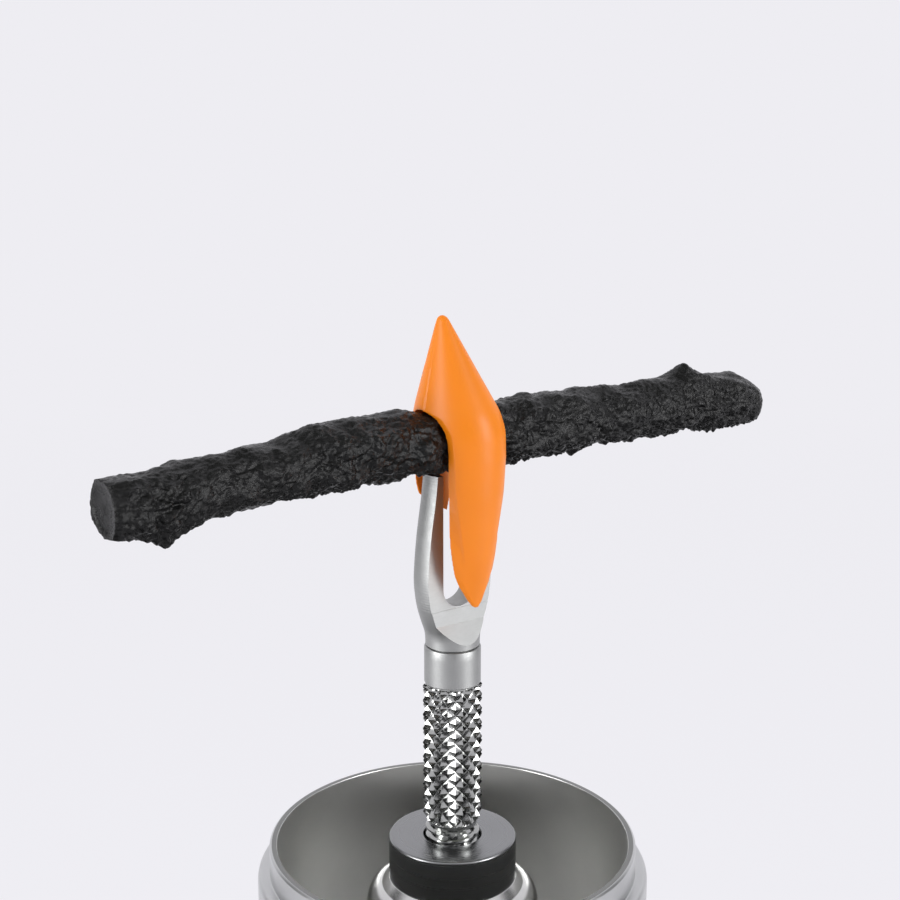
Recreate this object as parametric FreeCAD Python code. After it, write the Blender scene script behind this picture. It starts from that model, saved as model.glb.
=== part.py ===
"""Tyre plug insertion tool: a canister handle with a forked push rod standing in its open end.

A rope plug lies across the fork, threaded through the eye of a moulded nose tip. Pushing the
tool into a puncture drives nose and plug in, and pulling it back leaves them in the tyre.

Frame: millimetres, +Z up along the tool's axis, origin at the middle of the face it stands on.
The plug lies along X. The fork's two milled flats face -Y and +Y.
"""
import FreeCAD, Part
import math
import os
from FreeCAD import Vector

# ---------------------------------------------------------------- driving dimensions
# handle
HANDLE_R = 14.17          # outside of the handle and its end cap
CAP_HEAD_H = 9.0          # end cap below the handle's lower edge
CHAMBER_H = 62.0          # storage space inside the handle
CHAMBER_WALL = 2.87
FLOOR_T = 4.0             # wall between the cup and the storage space
CUP_DEPTH = 14.0          # rim to floor
SPIGOT_STEP = 0.88        # the lid slips over the spigot and meets the handle flush
SPIGOT_WALL = 0.55
SPIGOT_H = 2.05
SHOULDER_ROUND = 0.62
RIM_CHAMFER = 0.16
SEAM_CHAMFER = 0.35       # edge break where handle and end cap meet

# post and bush in the cup
HUB_OVER_RIM = 0.24       # the bush's top stands this far above the rim
BUSH_R = 4.63
BUSH_H = 3.2              # part of the bush above the post
BUSH_NECK_R = 3.3         # part of the bush inside the post
BUSH_NECK_H = 6.0
LEDGE_W = 0.54            # the post's bevel around the foot of the bush
LEDGE_DROP = 0.56
POST_ROUND_W = 1.12       # width of the post's rounded shoulder
POST_ROUND_H = 1.7        # height of the post's rounded shoulder
POST_STUD_R = 4.0
SEAL_T = 1.0
WASHER_T = 0.8
WASHER_R = 7.4
NUT_H = 4.0
NUT_FLATS = 13.0          # across flats

# push rod
BORE_R = 2.0              # hole in the bush
BORE_MOUTH_STEP = 0.14    # the bore's mouth is wider by this
BORE_MOUTH_H = 0.5
BORE_DEPTH = 8.6
ROD_CLEAR = 0.05          # radial, rod in its hole
STUD_L = 7.4              # part of the rod inside the bush
RELIEF_STEP = 0.23        # depth of the turned-down stretch between stud and knurl
RELIEF_FOOT = 0.2         # heights above the bush's top
RELIEF_TOP = 0.8
KNURL_START = 1.3
KNURL_END = 11.6
KNURL_R = 2.17            # over the crests
NECK_R = 2.02
NECK_TOP = 14.52

# fork, heights above the bush's top
FORK_TENON_R = 1.2
FORK_TENON_L = 5.0
FORK_GROOVE_R = 1.82      # thin undercut where the fork meets the rod
FORK_GROOVE_H = 0.18
FORK_FLAT_START = 16.4
FORK_THICK = 1.84         # across the two flats
RAMP_FOOT = 14.92         # lower end of the slope that leads to each flat
PRONG_STEP = 17.5         # above this the flats are a touch deeper
PRONG_STEP_DEPTH = 0.04
SLOT_W = 2.84
SLOT_FOOT = 17.6
FORK_TOP = 27.15
FORK_ROOT_R = 1.95
FORK_BELLY_R = 2.86
FORK_BELLY_Z = 19.6
FORK_TIP_R = 2.06

# rope plug and nose tip, heights above the bush's top
PLUG_R = 2.2
PRONG_GAP = 0.09          # the plug lies this far above the prongs
PLUG_LEFT = 26.5          # reach from the tool's axis, -X
PLUG_RIGHT = 29.7         # reach from the tool's axis, +X
PLUG_END_ROUND = 0.5
EYE_CLEAR = 0.1           # plug to the eye's walls
NOSE_TOP = 38.0
NOSE_TOP_R = 0.28
NOSE_FOOT = 17.62         # lower end of the long leg
SHORT_LEG_LEFT = 27.0     # the short leg's end slopes between these two heights
SHORT_LEG_RIGHT = 23.2
LEG_W = 4.0
LEG_TAPER_START = 21.2    # the long leg narrows to a point below this
NOSE_A = 3.0              # half-width of the nose along X at its widest
LONG_LEG_T = 1.8          # thickness of each leg beside the plug
SHORT_LEG_T = 0.8

# end cap and what it carries
CAP_SPIGOT_H = 8.0
CAP_CLEAR = 0.05          # radial, spigot in the handle
CAP_WALL = 2.2
ORING_D = 1.6
ORING_Z = 4.0             # above the handle's lower edge
ORING_SQUEEZE = 0.03      # left between ring and bore
RACK_CLEAR = 0.3
RACK_BASE_H = 4.0
RACK_TOP_H = 2.0
RACK_ROD_R = 1.6
RACK_TOP_DROP = 1.65      # top plate below the upper ends of the spare plugs
STORE_CLEAR = 0.12        # spare plugs to the cap's bore
SPARES = 3
SPARE_HEADROOM = 1.95     # above the spare plugs, under the post's nut
POCKET_DEPTH = 2.4
POCKET_CLEAR = 0.1
SPARE_SEAT = 0.05         # spares stand this far above the plate under them

# ---------------------------------------------------------------- levels worked out from them
HANDLE_FOOT = CAP_HEAD_H
CHAMBER_R = HANDLE_R - CHAMBER_WALL
SPIGOT_R = HANDLE_R - SPIGOT_STEP
CUP_R = SPIGOT_R - SPIGOT_WALL
CHAMBER_TOP = HANDLE_FOOT + CHAMBER_H
CUP_FLOOR = CHAMBER_TOP + FLOOR_T
RIM = CUP_FLOOR + CUP_DEPTH
HUB = RIM + HUB_OVER_RIM          # top face of the bush
SHOULDER = RIM - SPIGOT_H
POST_TOP = HUB - BUSH_H
POST_FOOT = CUP_FLOOR + SEAL_T
POST_LEDGE_R = BUSH_R + LEDGE_W
POST_R = POST_LEDGE_R + POST_ROUND_W
NUT_FOOT = CHAMBER_TOP - WASHER_T - NUT_H
BORE_MOUTH_R = BORE_R + BORE_MOUTH_STEP
STUD_R = BORE_R - ROD_CLEAR
RELIEF_R = STUD_R - RELIEF_STEP
PLUG_Z = FORK_TOP + PRONG_GAP + PLUG_R
EYE_R = PLUG_R + EYE_CLEAR
NOSE_B = EYE_R + (LONG_LEG_T + SHORT_LEG_T) / 2      # half-width of the nose along Y
NOSE_SHIFT_Y = (SHORT_LEG_T - LONG_LEG_T) / 2
CAP_BORE_R = CHAMBER_R - ORING_SQUEEZE - CAP_WALL
STORE_R = CAP_BORE_R - STORE_CLEAR - PLUG_R           # spares stand on this circle
RACK_FOOT = HANDLE_FOOT + ORING_Z + ORING_D           # the cap's inner face
POCKET_FOOT = RACK_FOOT + RACK_BASE_H - POCKET_DEPTH
SPARE_FOOT = POCKET_FOOT + SPARE_SEAT
SPARE_TOP = NUT_FOOT - SPARE_HEADROOM
RACK_TOP = SPARE_TOP - RACK_TOP_DROP


# ---------------------------------------------------------------- helpers
def turned(points):
    """Solid of revolution about Z from a closed outline of (radius, height) points."""
    outline = [Vector(r, 0, z) for r, z in points]
    face = Part.Face(Part.makePolygon(outline + outline[:1]))
    return face.revolve(Vector(0, 0, 0), Vector(0, 0, 1), 360)


def turned_edges(edges):
    """Solid of revolution about Z from joined edges that close an outline in the XZ plane."""
    face = Part.Face(Part.Wire(edges))
    return face.revolve(Vector(0, 0, 0), Vector(0, 0, 1), 360)


def line(a, b):
    return Part.LineSegment(Vector(a[0], 0, a[1]), Vector(b[0], 0, b[1])).toShape()


def arc(a, mid, b):
    return Part.Arc(Vector(a[0], 0, a[1]), Vector(mid[0], 0, mid[1]), Vector(b[0], 0, b[1])).toShape()


def curve(points):
    """Smooth curve through (radius, height) points."""
    spline = Part.BSplineCurve()
    spline.interpolate([Vector(r, 0, z) for r, z in points])
    return spline.toShape()


def quarter(a, b, centre):
    """Quarter-round edge from a to b about a centre."""
    radius = math.dist(a, centre)
    mx = (a[0] + b[0]) / 2 - centre[0]
    mz = (a[1] + b[1]) / 2 - centre[1]
    reach = radius / math.hypot(mx, mz)
    return arc(a, (centre[0] + mx * reach, centre[1] + mz * reach), b)


def plate(points, thickness, plane):
    """Prism from an outline in the XZ or YZ plane, centred on that plane."""
    if plane == "XZ":
        corners = [Vector(u, -thickness / 2, v) for u, v in points]
        along = Vector(0, thickness, 0)
    else:
        corners = [Vector(-thickness / 2, u, v) for u, v in points]
        along = Vector(thickness, 0, 0)
    return Part.Face(Part.makePolygon(corners + corners[:1])).extrude(along)


def rod(radius, z0, z1, x=0.0, y=0.0):
    return Part.makeCylinder(radius, z1 - z0, Vector(x, y, z0), Vector(0, 0, 1))


def around(count, first_deg, radius):
    """Evenly spaced (x, y, angle) places on a circle."""
    places = []
    for k in range(count):
        deg = first_deg + 360.0 * k / count
        places.append((radius * math.cos(math.radians(deg)), radius * math.sin(math.radians(deg)), deg))
    return places


# ---------------------------------------------------------------- handle
def handle_body():
    """One turned tube: open cup on top with the lid's spigot, storage space below."""
    r_in = SPIGOT_R
    shoulder_edge = (HANDLE_R - SHOULDER_ROUND, SHOULDER)
    body_edge = (HANDLE_R, SHOULDER - SHOULDER_ROUND)
    outer = [
        line((CHAMBER_R, HANDLE_FOOT), (HANDLE_R - SEAM_CHAMFER, HANDLE_FOOT)),
        line((HANDLE_R - SEAM_CHAMFER, HANDLE_FOOT), (HANDLE_R, HANDLE_FOOT + SEAM_CHAMFER)),
        line((HANDLE_R, HANDLE_FOOT + SEAM_CHAMFER), body_edge),
        quarter(body_edge, shoulder_edge, (HANDLE_R - SHOULDER_ROUND, SHOULDER - SHOULDER_ROUND)),
        line(shoulder_edge, (r_in, SHOULDER)),
        line((r_in, SHOULDER), (r_in, RIM - RIM_CHAMFER)),
        line((r_in, RIM - RIM_CHAMFER), (r_in - RIM_CHAMFER, RIM)),
        line((r_in - RIM_CHAMFER, RIM), (CUP_R, RIM)),
        line((CUP_R, RIM), (CUP_R, CUP_FLOOR)),
        line((CUP_R, CUP_FLOOR), (POST_STUD_R + ROD_CLEAR, CUP_FLOOR)),
        line((POST_STUD_R + ROD_CLEAR, CUP_FLOOR), (POST_STUD_R + ROD_CLEAR, CHAMBER_TOP)),
        line((POST_STUD_R + ROD_CLEAR, CHAMBER_TOP), (CHAMBER_R, CHAMBER_TOP)),
        line((CHAMBER_R, CHAMBER_TOP), (CHAMBER_R, HANDLE_FOOT)),
    ]
    return turned_edges(outer)


def post_seal():
    return turned([
        (POST_STUD_R + ROD_CLEAR, CUP_FLOOR),
        (POST_R, CUP_FLOOR),
        (POST_R, POST_FOOT),
        (POST_STUD_R + ROD_CLEAR, POST_FOOT),
    ])


def hub_post():
    """Polished post: a rounded shoulder around the bush, and a stud through the cup's floor."""
    neck_floor = POST_TOP - BUSH_NECK_H
    ledge_z = POST_TOP - LEDGE_DROP
    shoulder_foot = (POST_R, ledge_z - POST_ROUND_H)
    ledge = (POST_LEDGE_R, ledge_z)
    bulge = (POST_LEDGE_R + 0.72 * POST_ROUND_W, ledge_z - 0.34 * POST_ROUND_H)
    return turned_edges([
        line((0, NUT_FOOT), (POST_STUD_R, NUT_FOOT)),
        line((POST_STUD_R, NUT_FOOT), (POST_STUD_R, POST_FOOT)),
        line((POST_STUD_R, POST_FOOT), (POST_R, POST_FOOT)),
        line((POST_R, POST_FOOT), shoulder_foot),
        arc(shoulder_foot, bulge, ledge),
        line(ledge, (BUSH_R, POST_TOP)),
        line((BUSH_R, POST_TOP), (BUSH_NECK_R, POST_TOP)),
        line((BUSH_NECK_R, POST_TOP), (BUSH_NECK_R, neck_floor)),
        line((BUSH_NECK_R, neck_floor), (0, neck_floor)),
        line((0, neck_floor), (0, NUT_FOOT)),
    ])


def hub_bush():
    """Dark bush that the push rod screws into. Its neck is pressed into the post."""
    edge = 0.14
    bore_foot = HUB - BORE_DEPTH
    mouth_foot = HUB - BORE_MOUTH_H
    neck_foot = POST_TOP - BUSH_NECK_H
    return turned([
        (0, neck_foot),
        (BUSH_NECK_R, neck_foot),
        (BUSH_NECK_R, POST_TOP),
        (BUSH_R, POST_TOP),
        (BUSH_R, HUB - edge),
        (BUSH_R - edge, HUB),
        (BORE_MOUTH_R, HUB),
        (BORE_MOUTH_R, mouth_foot),
        (BORE_R, mouth_foot - (BORE_MOUTH_R - BORE_R)),
        (BORE_R, bore_foot),
        (0, bore_foot),
    ])


def post_washer():
    disc = rod(WASHER_R, CHAMBER_TOP - WASHER_T, CHAMBER_TOP)
    return disc.cut(rod(POST_STUD_R + ROD_CLEAR, CHAMBER_TOP - WASHER_T, CHAMBER_TOP))


def post_nut():
    top = CHAMBER_TOP - WASHER_T
    corner = NUT_FLATS / 2 / math.cos(math.radians(30))
    corners = [Vector(x, y, top - NUT_H) for x, y, _ in around(6, 0, corner)]
    hexagon = Part.Face(Part.makePolygon(corners + corners[:1])).extrude(Vector(0, 0, NUT_H))
    dome = turned([(0, top - NUT_H), (NUT_FLATS / 2, top - NUT_H), (corner, top - NUT_H + 0.6),
                   (corner, top), (0, top)])
    return hexagon.common(dome).cut(rod(POST_STUD_R, top - NUT_H, top))


# ---------------------------------------------------------------- push rod
def knurled_shank():
    """Rod from the bush to the fork. Its crests are left as a plain cylinder."""
    edge = 0.35
    foot = HUB - STUD_L
    tenon_foot = HUB + NECK_TOP - FORK_TENON_L
    top_edge = 0.1
    return turned([
        (0, foot),
        (STUD_R - edge, foot),
        (STUD_R, foot + edge),
        (STUD_R, HUB + RELIEF_FOOT - 0.1),
        (RELIEF_R, HUB + RELIEF_FOOT + 0.1),
        (RELIEF_R, HUB + RELIEF_TOP),
        (KNURL_R, HUB + KNURL_START),
        (KNURL_R, HUB + KNURL_END),
        (NECK_R, HUB + KNURL_END + (KNURL_R - NECK_R)),
        (NECK_R, HUB + NECK_TOP - top_edge),
        (NECK_R - top_edge, HUB + NECK_TOP),
        (FORK_TENON_R, HUB + NECK_TOP),
        (FORK_TENON_R, tenon_foot),
        (0, tenon_foot),
    ])


def fork_blank():
    """Turned spindle before its flats and slot are milled."""
    foot = HUB + NECK_TOP
    rise = FORK_TOP - FORK_BELLY_Z
    drop = FORK_BELLY_Z - NECK_TOP
    swell = FORK_BELLY_R - FORK_TIP_R
    side = [
        (FORK_ROOT_R, foot + FORK_GROOVE_H + 0.1),
        (FORK_ROOT_R, foot + 0.2 * drop),
        (FORK_BELLY_R - 0.5 * (FORK_BELLY_R - FORK_ROOT_R), foot + 0.44 * drop),
        (FORK_BELLY_R, HUB + FORK_BELLY_Z),
        (FORK_BELLY_R - 0.34 * swell, HUB + FORK_BELLY_Z + 0.5 * rise),
        (FORK_TIP_R, HUB + FORK_TOP),
    ]
    groove_top = (FORK_GROOVE_R, foot + FORK_GROOVE_H)
    return turned_edges([
        line((0, foot - FORK_TENON_L), (FORK_TENON_R, foot - FORK_TENON_L)),
        line((FORK_TENON_R, foot - FORK_TENON_L), (FORK_TENON_R, foot)),
        line((FORK_TENON_R, foot), (FORK_GROOVE_R, foot)),
        line((FORK_GROOVE_R, foot), groove_top),
        line(groove_top, side[0]),
        curve(side),
        line(side[-1], (0, HUB + FORK_TOP)),
        line((0, HUB + FORK_TOP), (0, foot - FORK_TENON_L)),
    ])


def fork_head():
    """Two prongs with flats front and back, a slope leading to each flat, and a round-ended slot."""
    half = FORK_THICK / 2
    deep = half - PRONG_STEP_DEPTH
    clear = 2 * FORK_BELLY_R
    slope_run = FORK_ROOT_R + 0.03 - half
    head = fork_blank()
    for side in (-1, 1):
        head = head.cut(plate([
            (side * half, HUB + FORK_FLAT_START),
            (side * (half + slope_run), HUB + RAMP_FOOT),
            (side * clear, HUB + RAMP_FOOT),
            (side * clear, HUB + FORK_TOP + 1),
            (side * half, HUB + FORK_TOP + 1),
        ], 2 * clear, "YZ"))
        head = head.cut(plate([
            (side * deep, HUB + PRONG_STEP),
            (side * clear, HUB + PRONG_STEP),
            (side * clear, HUB + FORK_TOP + 1),
            (side * deep, HUB + FORK_TOP + 1),
        ], 2 * clear, "YZ"))
    slot_end = HUB + SLOT_FOOT + SLOT_W / 2
    round_end = Part.makeCylinder(SLOT_W / 2, 2 * clear, Vector(0, -clear, slot_end), Vector(0, 1, 0))
    straight = Part.makeBox(SLOT_W, 2 * clear, FORK_TOP, Vector(-SLOT_W / 2, -clear, slot_end))
    return head.cut(round_end.fuse(straight))


# ---------------------------------------------------------------- plug and nose
def rope_plug():
    """Round stick of tarred rope, its two cut ends slightly rounded."""
    length = PLUG_LEFT + PLUG_RIGHT
    stick = Part.makeCylinder(PLUG_R, length, Vector(-PLUG_LEFT, 0, HUB + PLUG_Z), Vector(1, 0, 0))
    ends = [e for e in stick.Edges if e.Length < 2 * math.pi * PLUG_R * 1.01 and e.Closed]
    return stick.makeFillet(PLUG_END_ROUND, ends)


def nose_section(share, x, y, z):
    """One oval section of the nose, as a share of its widest section."""
    a = NOSE_A * share
    b = NOSE_B * share
    wide, narrow, axis = (b, a, Vector(0, 1, 0)) if b > a else (a, b, Vector(1, 0, 0))
    oval = Part.Ellipse(Vector(x, y, z), wide, narrow)
    oval.AngleXU = math.pi / 2 if axis.y else 0.0
    return Part.Wire(oval.toShape())


def nose_tip(base=None):
    """Moulded nose: pointed on top, an eye for the plug, a long leg in front and a short one behind."""
    lift = HUB if base is None else base
    belly = PLUG_Z
    shift = NOSE_SHIFT_Y
    sections = [
        (0.60, 0.0, shift * 0.9, NOSE_FOOT),
        (0.80, 0.0, shift, NOSE_FOOT + 0.33 * (belly - NOSE_FOOT)),
        (0.96, 0.0, shift, NOSE_FOOT + 0.75 * (belly - NOSE_FOOT)),
        (1.00, 0.0, shift, belly),
        (0.90, -0.05, shift * 0.85, belly + 0.27 * (NOSE_TOP - belly)),
        (0.49, -0.22, shift * 0.1, belly + 0.65 * (NOSE_TOP - belly)),
        (NOSE_TOP_R / NOSE_A, -0.42, shift * -0.8, NOSE_TOP),
    ]
    body = Part.makeLoft([nose_section(s, x, y, lift + z) for s, x, y, z in sections], True, False)
    reach = 3 * NOSE_B
    eye = Part.makeCylinder(EYE_R, 2 * reach, Vector(-reach, 0, lift + PLUG_Z), Vector(1, 0, 0))
    gap = Part.makeBox(2 * reach, 2 * EYE_R, PLUG_Z, Vector(-reach, -EYE_R, lift))
    body = body.cut(eye.fuse(gap))
    # what stays below the plug: the outline of each leg, seen along Y
    w = LEG_W / 2
    shoulder = PLUG_Z - 0.2 * PLUG_R
    wide = 2 * NOSE_A
    above = [(-wide, lift + NOSE_TOP + 1), (-wide, lift + PLUG_Z), (-w, lift + shoulder)]
    above_right = [(w, lift + shoulder), (wide, lift + PLUG_Z), (wide, lift + NOSE_TOP + 1)]
    long_leg = plate(above + [
        (-w, lift + LEG_TAPER_START),
        (-0.5 * w, lift + LEG_TAPER_START - 0.62 * (LEG_TAPER_START - NOSE_FOOT)),
        (-0.1 * w, lift + NOSE_FOOT),
        (0.1 * w, lift + NOSE_FOOT),
        (0.5 * w, lift + LEG_TAPER_START - 0.62 * (LEG_TAPER_START - NOSE_FOOT)),
        (w, lift + LEG_TAPER_START),
    ] + above_right, 2 * reach, "XZ")
    short_leg = plate(above + [
        (-w, lift + SHORT_LEG_LEFT),
        (-0.6 * w, lift + SHORT_LEG_LEFT - 0.45 * (SHORT_LEG_LEFT - SHORT_LEG_RIGHT)),
        (w, lift + SHORT_LEG_RIGHT),
    ] + above_right, 2 * reach, "XZ")
    front = Part.makeBox(2 * reach, reach, 2 * NOSE_TOP, Vector(-reach, -reach, lift))
    back = Part.makeBox(2 * reach, reach, 2 * NOSE_TOP, Vector(-reach, 0, lift))
    return body.common(long_leg.common(front).fuse(short_leg.common(back)))


# ---------------------------------------------------------------- end cap and spares
def end_cap():
    """Screw cap the tool stands on. Its spigot goes up into the handle and carries a seal."""
    spigot_r = CHAMBER_R - CAP_CLEAR
    groove_r = CHAMBER_R - ORING_SQUEEZE - ORING_D
    top = HANDLE_FOOT + CAP_SPIGOT_H
    seal = HANDLE_FOOT + ORING_Z
    half = ORING_D / 2
    foot_edge = 0.8
    return turned([
        (0, 0),
        (HANDLE_R - foot_edge, 0),
        (HANDLE_R, foot_edge),
        (HANDLE_R, HANDLE_FOOT - SEAM_CHAMFER),
        (HANDLE_R - SEAM_CHAMFER, HANDLE_FOOT),
        (spigot_r, HANDLE_FOOT),
        (spigot_r, seal - half),
        (groove_r, seal - half),
        (groove_r, seal + half),
        (spigot_r, seal + half),
        (spigot_r, top),
        (CAP_BORE_R, top),
        (CAP_BORE_R, RACK_FOOT),
        (0, RACK_FOOT),
    ])


def cap_oring():
    centre = CHAMBER_R - ORING_SQUEEZE - ORING_D / 2
    return Part.makeTorus(centre, ORING_D / 2, Vector(0, 0, HANDLE_FOOT + ORING_Z))


def plug_rack():
    """Plastic rack that stands in the cap: base plate with pockets, rod and top plate."""
    base_r = CAP_BORE_R - RACK_CLEAR
    plate_r = CHAMBER_R - RACK_CLEAR
    cap_top = HANDLE_FOOT + CAP_SPIGOT_H
    rack = rod(base_r, RACK_FOOT, cap_top + RACK_CLEAR)
    rack = rack.fuse(rod(plate_r, cap_top + RACK_CLEAR, RACK_FOOT + RACK_BASE_H))
    rack = rack.fuse(rod(RACK_ROD_R, RACK_FOOT, RACK_TOP))
    rack = rack.fuse(rod(plate_r, RACK_TOP - RACK_TOP_H, RACK_TOP))
    for x, y, _ in around(SPARES, 90, STORE_R):
        hole_r = PLUG_R + POCKET_CLEAR
        rack = rack.cut(rod(hole_r, POCKET_FOOT, POCKET_FOOT + POCKET_DEPTH + 1, x, y))
        rack = rack.cut(rod(hole_r, RACK_TOP - RACK_TOP_H - 1, RACK_TOP + 1, x, y))
    return rack


def spare_rope_plugs():
    sticks = [rod(PLUG_R, SPARE_FOOT, SPARE_TOP, x, y) for x, y, _ in around(SPARES, 90, STORE_R)]
    return Part.makeCompound(sticks)


def spare_nose_tips():
    """Spare tips standing point up between the spare plugs."""
    foot = RACK_FOOT + RACK_BASE_H + SPARE_SEAT
    tips = []
    for x, y, deg in around(SPARES, 30, STORE_R):
        tip = nose_tip(foot - NOSE_FOOT)
        tip.rotate(Vector(0, 0, 0), Vector(0, 0, 1), deg + 90)
        tip.translate(Vector(x, y, 0))
        tips.append(tip)
    return Part.makeCompound(tips)


# ---------------------------------------------------------------- write every node
NODES = {
    "handle_body": handle_body,
    "post_seal": post_seal,
    "hub_post": hub_post,
    "hub_bush": hub_bush,
    "post_washer": post_washer,
    "post_nut": post_nut,
    "knurled_shank": knurled_shank,
    "fork_head": fork_head,
    "nose_tip": nose_tip,
    "rope_plug": rope_plug,
    "end_cap": end_cap,
    "cap_oring": cap_oring,
    "plug_rack": plug_rack,
    "spare_rope_plugs": spare_rope_plugs,
    "spare_nose_tips": spare_nose_tips,
}

os.makedirs("parts", exist_ok=True)
for name, make in NODES.items():
    shape = make()
    print(name, shape.isValid(), len(shape.Solids), round(shape.Volume, 2), shape.BoundBox)
    shape.exportStep("parts/" + name + ".step")
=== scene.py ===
"""Looks of a tyre plug insertion tool, laid out as a Blender add-on and run as a script.

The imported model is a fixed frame: handle, post, push rod, fork, nose tip, rope plug, end cap and
the spares inside. Shapes are worked out in millimetres and turned to metres as each piece is placed.
Heights called "over the hub" are measured from the top face of the bush.
"""
import math
from types import SimpleNamespace

import bmesh
import bpy
import numpy as np
from bpy.props import FloatProperty, FloatVectorProperty, IntProperty, PointerProperty
from mathutils import Matrix, Vector, noise


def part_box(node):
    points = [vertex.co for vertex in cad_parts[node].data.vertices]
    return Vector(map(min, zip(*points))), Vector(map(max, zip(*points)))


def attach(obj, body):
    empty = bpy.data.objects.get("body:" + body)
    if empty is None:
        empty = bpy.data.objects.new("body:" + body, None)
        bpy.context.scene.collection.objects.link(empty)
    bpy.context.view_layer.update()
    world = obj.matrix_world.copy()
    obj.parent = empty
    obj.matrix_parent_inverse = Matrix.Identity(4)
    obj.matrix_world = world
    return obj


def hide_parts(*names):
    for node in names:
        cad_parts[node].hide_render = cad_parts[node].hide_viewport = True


bl_info = {
    "name": "Tyre Plug Insertion Tool",
    "version": (1, 0, 0),
    "blender": (4, 5, 0),
    "location": "3D View > Sidebar > Plug Tool",
    "description": "Builds the looks of a tyre plug insertion tool around its CAD frame",
    "category": "Object",
}

MM = 0.001
STEPS = 192               # facets round a turned piece
SMOOTH_ANGLE = math.radians(32)

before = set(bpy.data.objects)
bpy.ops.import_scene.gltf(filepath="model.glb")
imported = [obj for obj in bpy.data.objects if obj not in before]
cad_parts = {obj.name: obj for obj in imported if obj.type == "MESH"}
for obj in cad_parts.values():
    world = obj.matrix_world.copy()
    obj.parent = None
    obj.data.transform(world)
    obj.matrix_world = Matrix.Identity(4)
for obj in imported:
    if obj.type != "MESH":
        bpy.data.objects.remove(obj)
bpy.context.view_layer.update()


def span(node):
    """Lowest and highest corner of a CAD node, in millimetres."""
    low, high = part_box(node)
    return low / MM, high / MM


# ---------------------------------------------------------------- sizes read from the frame
HANDLE_LOW, HANDLE_HIGH = span("handle_body")
BUSH_LOW, BUSH_HIGH = span("hub_bush")
POST_LOW, POST_HIGH = span("hub_post")
SEAL_LOW, SEAL_HIGH = span("post_seal")
SHANK_LOW, SHANK_HIGH = span("knurled_shank")
FORK_LOW, FORK_HIGH = span("fork_head")
NOSE_LOW, NOSE_HIGH = span("nose_tip")
PLUG_LOW, PLUG_HIGH = span("rope_plug")
STORE_LOW, STORE_HIGH = span("spare_rope_plugs")

HUB = BUSH_HIGH.z
RIM = HANDLE_HIGH.z
HANDLE_R = HANDLE_HIGH.y
CUP_FLOOR = SEAL_LOW.z
BUSH_R = BUSH_HIGH.y
POST_R = SEAL_HIGH.y
POST_FOOT = SEAL_HIGH.z
POST_TOP = POST_HIGH.z
KNURL_R = SHANK_HIGH.y
FORK_TOP = FORK_HIGH.z - HUB
PLUG_R = (PLUG_HIGH.z - PLUG_LOW.z) / 2
PLUG_Z = (PLUG_HIGH.z + PLUG_LOW.z) / 2 - HUB
NOSE_FOOT = NOSE_LOW.z - HUB
NOSE_TOP = NOSE_HIGH.z - HUB
STORE_R = STORE_HIGH.y - PLUG_R
CAP_TOP = span("end_cap")[1].z
TIPS_FOOT = span("spare_nose_tips")[0].z
FORK_R = FORK_HIGH.x

# ---------------------------------------------------------------- sizes that pieces share, in mm
SPARES = 3                # spare plugs, and as many spare tips
STUD_HOLE_R = 4.05        # hole in the handle's floor for the post's stud
TENON_R = 1.2             # pin that joins fork and rod
TENON = 5.0
LEG_SHIFT = 0.1           # middle of the nose's long leg, right of the axis
LEG_CLEAR = 6.0           # half-width that is clear of the nose all round
OVER_NOSE = 40.0          # height that is clear of the nose

# ---------------------------------------------------------------- finishes that aren't settings
BORED = "#E4E4E2"
# the rim's top face: a darker copy of the bored aluminium, painted shade on the up-facing ring
RIM_PAINTED_SHADE = "#8E8F8D"
RUBBER = "#0D0D0D"
ZINC = "#9EA1A4"
NYLON = "#232325"
ROPE_DUST = "#1E1E1E"


# ---------------------------------------------------------------- what a user would change
def length(name, description, default):
    """A length property whose default is given in millimetres."""
    return FloatProperty(name=name, description=description, default=default * MM,
                         precision=5, unit="LENGTH", subtype="DISTANCE")


def colour(name, description, default):
    """A colour property whose default is an sRGB hex value."""
    return FloatVectorProperty(name=name, description=description, default=linear(default)[:3],
                               size=3, min=0.0, max=1.0, subtype="COLOR")


def linear(code):
    """Linear colour with alpha from an sRGB hex value such as #8E8E8E."""
    channels = [int(code[i:i + 2], 16) / 255 for i in (1, 3, 5)]
    return [c / 12.92 if c <= 0.04045 else ((c + 0.055) / 1.055) ** 2.4 for c in channels] + [1.0]


class PLUGTOOL_PG_handle(bpy.types.PropertyGroup):
    spigot_step: length("Spigot step", "How far the lid's spigot stands inside the handle", 0.88)
    spigot_wall: length("Spigot wall", "Thickness of the cup's rim", 0.55)
    spigot_height: length("Spigot height", "Height of the lid's spigot", 2.05)
    shoulder_round: length("Shoulder round", "Rounding of the shoulder under the spigot", 0.62)
    rim_chamfer: length("Rim chamfer", "Bright edge round the outside of the rim", 0.16)
    chamber_wall: length("Chamber wall", "Wall round the storage space", 2.87)
    floor: length("Floor", "Wall between the cup and the storage space", 4.0)
    seam_chamfer: length("Seam chamfer", "Edge break where handle and end cap meet", 0.35)
    cap_wall: length("Cap wall", "Wall of the end cap's spigot", 2.2)
    grip_flutes: IntProperty(name="Grip flutes", description="Flutes round the end cap",
                             default=72, min=12, max=180)
    grip_depth: length("Grip depth", "Depth of the flutes round the end cap", 0.3)
    metal: colour("Metal", "Clear anodised aluminium", "#CBCCCC")


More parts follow.
